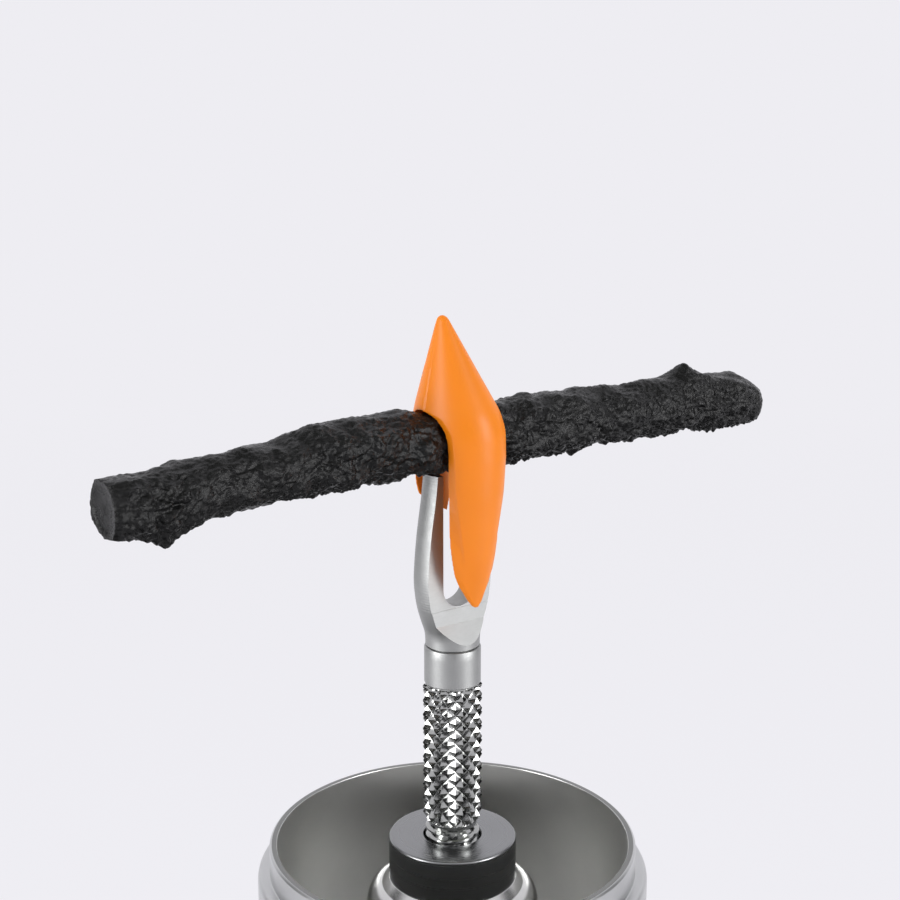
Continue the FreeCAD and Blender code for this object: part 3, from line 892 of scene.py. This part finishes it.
def legs(eye):
    """What the nose keeps: the long leg in front of the tool's axis and the short leg behind it."""
    # height, half-width at the leg's inner face, half-width at its outer face
    long_leg = ((32.4, 6.0, 6.0), (31.95, 2.95, 2.95), (31.3, 2.5, 2.5), (30.4, 2.27, 2.27),
                (29.0, 2.17, 2.17), (26.5, 2.12, 2.05), (25.0, 2.1, 1.85), (23.9, 2.08, 1.65),
                (22.0, 2.0, 1.35), (21.1, 1.95, 1.2), (19.6, 1.28, 0.86), (18.4, 0.5, 0.4),
                (17.95, 0.14, 0.14))
    short_leg = ((-6.0, 40.0), (-6.0, 32.4), (-2.9, 31.9), (-2.3, 30.4), (-2.1, 28.2), (-2.0, 27.1),
                 (-1.6, 26.4), (-1.2, 25.25), (0.1, 24.35), (1.25, 23.6), (1.9, 23.35), (2.1, 24.5),
                 (2.2, 28.0), (2.4, 30.4), (3.0, 31.9), (6.0, 32.4), (6.0, 40.0))
    inner = leg_outline([(z, w) for z, w, _ in long_leg])
    outer = leg_outline([(z, w) for z, _, w in long_leg])
    # the leg's sides run straight back from a bevel on its outer edges
    levels = ((0.0, inner), (-eye - 0.05, inner), (-eye - 0.6, outer), (-7.0, outer))
    points = [(x, y, z) for y, outline in levels for x, z in outline]
    kept = lofted("long_leg", points, len(inner))
    carve(kept, prism("short_leg", short_leg, -0.01, 7.0, "Y"), "UNION")
    return kept


def add_seam(made, heights, mids_x, mids_y, seam):
    """Sets the back half of the tip a step proud of the front along the mould's parting line."""
    steps = ((34.6, 0.3), (32.7, 0.65), (0.0, 1.0))
    count = len(made.data.vertices)
    places = np.empty(count * 3, np.float32)
    made.data.vertices.foreach_get("co", places)
    places = places.reshape(-1, 3)
    z = places[:, 2]
    side = places[:, 0] - np.interp(z, heights, mids_x)
    behind = places[:, 1] - np.interp(z, heights, mids_y)
    share = np.full(count, steps[-1][1])
    for height, value in steps[-2::-1]:
        share = np.where(z > height, value, share)
    sharp, back = 0.07, 2.6
    rise = np.clip(behind / sharp + 0.5, 0, 1) * np.clip(1 - behind / back, 0, 1)
    above_eye = np.clip((z - PLUG_Z - PLUG_R) / 0.4, 0, 1)
    above_eye = above_eye * np.clip((NOSE_TOP - 0.3 - z) / 0.5, 0, 1)
    places[:, 0] += np.sign(side) * seam * share * rise * above_eye
    made.data.vertices.foreach_set("co", places.ravel())
    made.data.update()


class PLUGTOOL_OT_nose(bpy.types.Operator):
    """Moulded nose tip around the plug, and the spare tips in the handle"""
    bl_idname = "plugtool.nose"
    bl_label = "Nose tips"

    def execute(self, context):
        group = context.scene.plugtool_nose
        s = in_mm(group)
        plastic = finish(gloss_polypropylene, "gloss_orange_polypropylene", group.plastic)
        made = nose_tip("moulded_nose", s.edge, s.clearance, s.seam)
        made.data.transform(Matrix.Translation((0, 0, HUB)))
        place(made, "nose", plastic, "orange_plastic", "nose_tip")
        coarse = 0.14
        pattern = nose_tip("spare_nose", coarse, s.clearance, s.seam)
        for k in range(SPARES):
            angle = math.radians(30 + 360 * k / SPARES)
            spare = pattern.copy()
            spare.data = pattern.data.copy()
            spare.name = f"spare_nose_{k + 1}"
            bpy.context.scene.collection.objects.link(spare)
            spare.data.transform(Matrix.Rotation(angle + math.pi / 2, 4, "Z"))
            store(spare, angle, TIPS_FOOT - NOSE_FOOT)
            place(spare, "cap", plastic, "orange_plastic", "spare_nose_tips")
        bpy.data.objects.remove(pattern)
        return {"FINISHED"}


# ---------------------------------------------------------------- rope plugs
def tar_height(at, up, crinkle, fine):
    """Height of the tarred surface at a place: creases, slow lumps and grain, calmer on top."""
    calm = 1 - 0.6 * max(0.0, up) ** 2
    rough = 0.5 + 0.5 * noise.noise(at * 0.4)
    folds = abs(noise.noise(at * 1.1)) + 0.6 * abs(noise.noise(at * 2.6)) - 0.42
    slow = 0.85 * noise.noise(at * 0.62)
    pits = noise.noise(at * 4.2) + 0.6 * noise.noise(at * 8.4)
    return crinkle * ((0.3 + 1.1 * rough) * calm * folds + slow) + fine * (0.4 + rough) * calm * pits


def rope_rings(line, rows):
    """Rings (x, height, radius) along a line of places: a cut end, the run and a torn end."""
    places = [p[0] for p in line]
    xs = np.linspace(places[0], places[-1], rows)
    mids = eased(xs, places, [p[1] for p in line], 1.4)
    radii = eased(xs, places, [p[2] for p in line], 1.0)
    cut_face = ((0.0, 0.15), (0.3, 0.175), (0.6, 0.125))
    rings = [(xs[0] + inset, mids[0], radii[0] * share) for share, inset in cut_face]
    edge = 0.3
    for t in np.linspace(0, math.pi / 2, 9)[1:]:
        out = math.sin(t)
        inset = edge * (1 - math.sqrt(1 - (1 - out) ** 2))
        rings.append((xs[0] + inset, mids[0], radii[0] * (0.72 + 0.28 * out)))
    skip = 6
    rings += zip(xs[skip:-skip], mids[skip:-skip], radii[skip:-skip])
    for t in (0.3, 0.6, 0.85, 1.0):
        x = xs[-skip] + (xs[-1] - xs[-skip]) * t
        rings.append((x, mids[-1], radii[-1] * (1 - t)))
    return rings


def rope_stick(name, line, lumps, crinkle, fine, seed, rows=600, around=150):
    """Tarred rope along X from a line of (x, height, radius) places, with a few lumps.

    Each lump is (x, turn from the top in degrees, height, width).
    """
    apart = Vector((seed * 17.3, seed * 5.1, 0))
    points = []
    for x, mid, radius in rope_rings(line, rows):
        share = min(1.0, radius / PLUG_R)
        for k in range(around):
            angle = math.tau * k / around
            up, out = math.cos(angle), math.sin(angle)
            at = Vector((x * 0.72, out * radius, up * radius)) + apart
            h = tar_height(at, up, crinkle, fine)
            for lump_x, turn, rise, width in lumps:
                gap = math.remainder(angle - math.radians(turn), math.tau) * radius
                h += rise * math.exp(-((x - lump_x) ** 2 + gap ** 2) / width ** 2)
            reach = max(0.0, radius + h * share ** 3)
            points.append((x, reach * out, mid + reach * up))
    made = lofted(name, points, around)
    made.data.shade_smooth()
    return made


class PLUGTOOL_OT_rope(bpy.types.Operator):
    """Rope plug through the nose's eye, and the spare plugs in the handle"""
    bl_idname = "plugtool.rope"
    bl_label = "Rope plugs"

    def execute(self, context):
        group = context.scene.plugtool_rope
        s = in_mm(group)
        tar = finish(tarred_rope, "tarred_rayon_rope", group.tar)
        left, right = PLUG_LOW.x, PLUG_HIGH.x
        # the soft stick sags a little at each end, and its right end is torn: x, rise, radius
        bends = ((left + 0.68, -0.98, 1.78), (left + 2.1, -1.1, 2.02), (-22.0, -1.12, 2.2),
                 (-19.5, -0.7, 1.94), (-14.2, -0.4, 2.02), (-11.0, 0.0, 2.2), (-6.5, 0.15, 2.2),
                 (0.0, 0.0, 2.1), (6.0, -0.05, 2.2), (12.0, 0.08, 2.14), (17.0, -0.05, 2.06),
                 (21.5, 0.1, 2.22), (26.3, -0.3, 2.12), (28.0, -0.55, 1.9), (right - 0.2, -0.95, 1.4))
        line = [(x, PLUG_Z + rise, radius) for x, rise, radius in bends]
        lumps = ((-21.8, 195, 0.45, 0.9), (-16.5, -8, 0.3, 0.6), (-14.3, -30, 0.35, 0.5),
                 (-5.6, 170, 0.35, 0.9), (-3.4, -90, 0.35, 0.9), (6.3, 5, 0.3, 0.6), (10.7, 178, 0.7, 0.55),
                 (21.5, -5, 0.5, 0.7), (24.6, 185, 0.25, 0.6), (27.2, 15, 0.4, 0.7))
        made = rope_stick("rope_stick", line, lumps, s.crinkle, s.grain, 1)
        clip_along(made, left, right)
        made.data.transform(Matrix.Translation((0, 0, HUB)))
        place(made, "plug", tar, "tarred_rope", "rope_plug")
        tall = STORE_HIGH.z - STORE_LOW.z
        # the spares are still fresh, so they are straighter and smoother
        straight = ((0.05, 0.0, 2.0), (tall / 2, 0.0, 2.05), (tall - 0.05, 0.0, 2.0))
        for k in range(SPARES):
            angle = math.radians(90 + 360 * k / SPARES)
            spare = rope_stick(f"spare_rope_{k + 1}", straight, (), 0.3 * s.crinkle, 0.5 * s.grain,
                               k + 2, rows=200, around=72)
            clip_along(spare, 0.0, tall)
            spare.data.transform(Matrix.Rotation(-math.pi / 2, 4, "Y"))
            store(spare, angle, STORE_LOW.z)
            place(spare, "cap", tar, "tarred_rope", "spare_rope_plugs")
        return {"FINISHED"}


def clip_along(made, low, high):
    """Keeps a stick that lies along X between two places."""
    for vertex in made.data.vertices:
        vertex.co.x = min(max(vertex.co.x, low), high)


class PLUGTOOL_OT_rack(bpy.types.Operator):
    """Plastic rack that holds the spares in the end cap"""
    bl_idname = "plugtool.rack"
    bl_label = "Rack"

    def execute(self, context):
        paint("plug_rack", finish(spark_textured_nylon, "spark_textured_nylon", linear(NYLON)))
        return {"FINISHED"}


# ---------------------------------------------------------------- stage
def bare_tree(data):
    """The emptied node tree of a material or a world."""
    data.use_nodes = True
    data.node_tree.nodes.clear()
    return data.node_tree


def staged(name, points, faces, finish_made):
    """A piece of the studio that isn't part of the tool."""
    made = mesh_object(name, points, faces)
    made.data.materials.append(finish_made)
    return made


def seen_rays(tree):
    """Socket that is 1 for rays from the camera, a mirror or glass."""
    path = add(tree, "ShaderNodeLightPath").outputs
    first = add(tree, "ShaderNodeMath", {0: path["Is Camera Ray"], 1: path["Is Glossy Ray"]},
                operation="MAXIMUM").outputs[0]
    return add(tree, "ShaderNodeMath", {0: first, 1: path["Is Transmission Ray"]},
               operation="MAXIMUM").outputs[0]


def softbox(name, place_at, aim, wide, tall, power, mirrored=True):
    """Area lamp that points at a place; mirrored says whether glossy surfaces show it."""
    lamp = bpy.data.lights.new(name, "AREA")
    lamp.shape = "RECTANGLE"
    lamp.size = wide
    lamp.size_y = tall
    lamp.energy = power
    made = bpy.data.objects.new(name, lamp)
    made.location = place_at
    made.rotation_euler = (Vector(aim) - Vector(place_at)).to_track_quat("-Z", "Y").to_euler()
    bpy.context.scene.collection.objects.link(made)
    made.visible_glossy = mirrored
    return made


class PLUGTOOL_OT_stage(bpy.types.Operator):
    """Pale floor and backdrop, soft lamps, glowing grey and dark cards that paint reflections on the metal,
    and the camera
    """
    bl_idname = "plugtool.stage"
    bl_label = "Stage"

    def execute(self, context):
        scene = context.scene
        group = scene.plugtool_stage
        pale = [*group.backdrop, 1.0]
        self.world(scene, pale)
        self.floor(pale)
        self.lamps(group)
        self.camera(scene, group)
        scene.view_settings.view_transform = "Standard"
        return {"FINISHED"}

    def world(self, scene, pale):
        """Pale surround that the camera and reflections see, and a dimmer fill for everything else."""
        world = bpy.data.worlds.new("pale_surround")
        scene.world = world
        tree = bare_tree(world)
        fill = add(tree, "ShaderNodeBackground", {"Color": linear("#F4F6FA"), "Strength": 0.58})
        seen = add(tree, "ShaderNodeBackground", {"Color": pale, "Strength": 1.0})
        either = add(tree, "ShaderNodeMixShader", {0: seen_rays(tree), 1: fill.outputs[0],
                                                   2: seen.outputs[0]})
        add(tree, "ShaderNodeOutputWorld", {0: either.outputs[0]})

    def floor(self, pale):
        """Matt paper that keeps the tool's shadow and fades to the backdrop's tone."""
        made = bpy.data.materials.new("pale_matt_paper")
        tree = bare_tree(made)
        where = add(tree, "ShaderNodeTexCoord").outputs["Object"]
        far = add(tree, "ShaderNodeVectorMath", {0: where}, operation="LENGTH").outputs["Value"]
        fade = add(tree, "ShaderNodeMapRange", {0: far, 1: 0.1, 2: 0.6, 3: 0.88, 4: 1.0}).outputs[0]
        fleck = grain(tree, place_in_mm(tree), 0.4)
        paper = mixed(tree, fleck, shade(pale, 0.99), shade(pale, 1.01))
        matt = add(tree, "ShaderNodeBsdfDiffuse", {"Color": paper})
        glow = add(tree, "ShaderNodeEmission", {"Color": pale, "Strength": 1.0})
        seen = add(tree, "ShaderNodeMath", {0: fade, 1: seen_rays(tree)}, operation="MULTIPLY").outputs[0]
        both = add(tree, "ShaderNodeMixShader", {0: seen, 1: matt.outputs[0], 2: glow.outputs[0]})
        add(tree, "ShaderNodeOutputMaterial", {0: both.outputs[0]})
        reach = 3.0
        ring = [(reach * math.cos(math.tau * k / 64), reach * math.sin(math.tau * k / 64), 0.0)
                for k in range(64)]
        staged("paper_floor", ring, [list(range(64))], made)

    def lamps(self, group):
        """Three soft lamps, and the glowing cards that paint reflections on the metal."""
        aim = (0.0, 0.0, (HUB + 12) * MM)
        turn = Matrix.Rotation(group.azimuth, 3, "Z")
        # places beside the camera's line: right of it, towards it, up
        softbox("left_softbox", turn @ Vector((-0.46, -0.24, 0.2)), aim, 0.16, 0.5, 2.3)
        softbox("right_softbox", turn @ Vector((0.46, -0.24, 0.2)), aim, 0.16, 0.5, 2.0)
        softbox("top_softbox", turn @ Vector((0.0, 0.3, 0.6)), aim, 0.45, 0.3, 1.2, mirrored=False)
        # glowing cards that only reflections show, painted reflections on the metal: name, tone, middle,
        # half across, half up
        cards = (
            ("front_card", "#4C4C4E", (0.0, -0.5, 0.2), (0.22, 0.0, 0.0), (0.0, 0.0, 0.2)),
            ("left_card", "#101010", (-0.40, 0.10, 0.12), (0.03, 0.12, 0.0), (0.0, 0.0, 0.25)),
            ("right_card", "#101010", (0.40, 0.10, 0.12), (-0.03, 0.12, 0.0), (0.0, 0.0, 0.25)),
            ("low_left_card", "#303031", (-0.08, -0.01, 0.004), (0.05, 0.0, 0.0), (0.0, 0.11, 0.0)),
            ("low_right_card", "#303031", (0.08, -0.01, 0.004), (0.05, 0.0, 0.0), (0.0, 0.11, 0.0)),
            ("ceiling_card", "#80827C", (0.0, -0.05, 0.7), (0.45, 0.0, 0.0), (0.0, 0.3, 0.0)),
        )
        for name, tone, *ways in cards:
            at, across, up = (turn @ Vector(way) for way in ways)
            corners = [at - across - up, at + across - up, at + across + up, at - across + up]
            card = staged(name, corners, [[0, 1, 2, 3]], self.glowing_card(tone))
            card.visible_camera = False
            card.visible_diffuse = False
            card.visible_shadow = False

    def glowing_card(self, tone):
        """Card that glows with its own tone, whatever the lamps do: a painted reflection."""
        made = bpy.data.materials.new("glowing_reflection_card")
        tree = bare_tree(made)
        glow = add(tree, "ShaderNodeEmission", {"Color": linear(tone), "Strength": 1.0})
        add(tree, "ShaderNodeOutputMaterial", {0: glow.outputs[0]})
        return made

    def camera(self, scene, group):
        """The camera, from its turn, pitch, distance and height over the hub."""
        data = bpy.data.cameras.new("camera")
        data.lens = group.lens
        data.sensor_width = 36.0
        data.clip_start = 0.001
        made = bpy.data.objects.new("camera", data)
        scene.collection.objects.link(made)
        a, t = group.azimuth, group.pitch
        aside = -0.18 * MM
        made.location = (math.sin(a) * group.reach + math.cos(a) * aside,
                         -math.cos(a) * group.reach + math.sin(a) * aside,
                         HUB * MM + group.height)
        made.rotation_euler = (math.pi / 2 - t, 0.0, a)
        scene.camera = made


# ---------------------------------------------------------------- panel and registration
class PLUGTOOL_PT_panel(bpy.types.Panel):
    """Sidebar panel with every step of the build and its settings"""
    bl_idname = "PLUGTOOL_PT_panel"
    bl_label = "Plug Tool"
    bl_space_type = "VIEW_3D"
    bl_region_type = "UI"
    bl_category = "Plug Tool"

    def draw(self, context):
        for operator in OPERATORS:
            self.layout.operator(operator.bl_idname)
        for name in GROUPS:
            box = self.layout.box()
            group = getattr(context.scene, name)
            for prop in group.bl_rna.properties:
                if prop.identifier not in {"rna_type", "name"}:
                    box.prop(group, prop.identifier)


OPERATORS = (PLUGTOOL_OT_handle, PLUGTOOL_OT_end_cap, PLUGTOOL_OT_post, PLUGTOOL_OT_rod,
             PLUGTOOL_OT_fork, PLUGTOOL_OT_nose, PLUGTOOL_OT_rope, PLUGTOOL_OT_rack,
             PLUGTOOL_OT_stage)
GROUPS = {
    "plugtool_handle": PLUGTOOL_PG_handle,
    "plugtool_post": PLUGTOOL_PG_post,
    "plugtool_rod": PLUGTOOL_PG_rod,
    "plugtool_nose": PLUGTOOL_PG_nose,
    "plugtool_rope": PLUGTOOL_PG_rope,
    "plugtool_stage": PLUGTOOL_PG_stage,
}


def register():
    for name, group in GROUPS.items():
        bpy.utils.register_class(group)
        setattr(bpy.types.Scene, name, PointerProperty(type=group))
    for made in (*OPERATORS, PLUGTOOL_PT_panel):
        bpy.utils.register_class(made)


def unregister():
    for made in (PLUGTOOL_PT_panel, *reversed(OPERATORS)):
        bpy.utils.unregister_class(made)
    for name, group in GROUPS.items():
        delattr(bpy.types.Scene, name)
        bpy.utils.unregister_class(group)


def main():
    register()
    bpy.ops.plugtool.handle()
    bpy.ops.plugtool.end_cap()
    bpy.ops.plugtool.post()
    bpy.ops.plugtool.rod()
    bpy.ops.plugtool.fork()
    bpy.ops.plugtool.nose()
    bpy.ops.plugtool.rope()
    bpy.ops.plugtool.rack()
    bpy.ops.plugtool.stage()


if __name__ == "__main__":
    main()
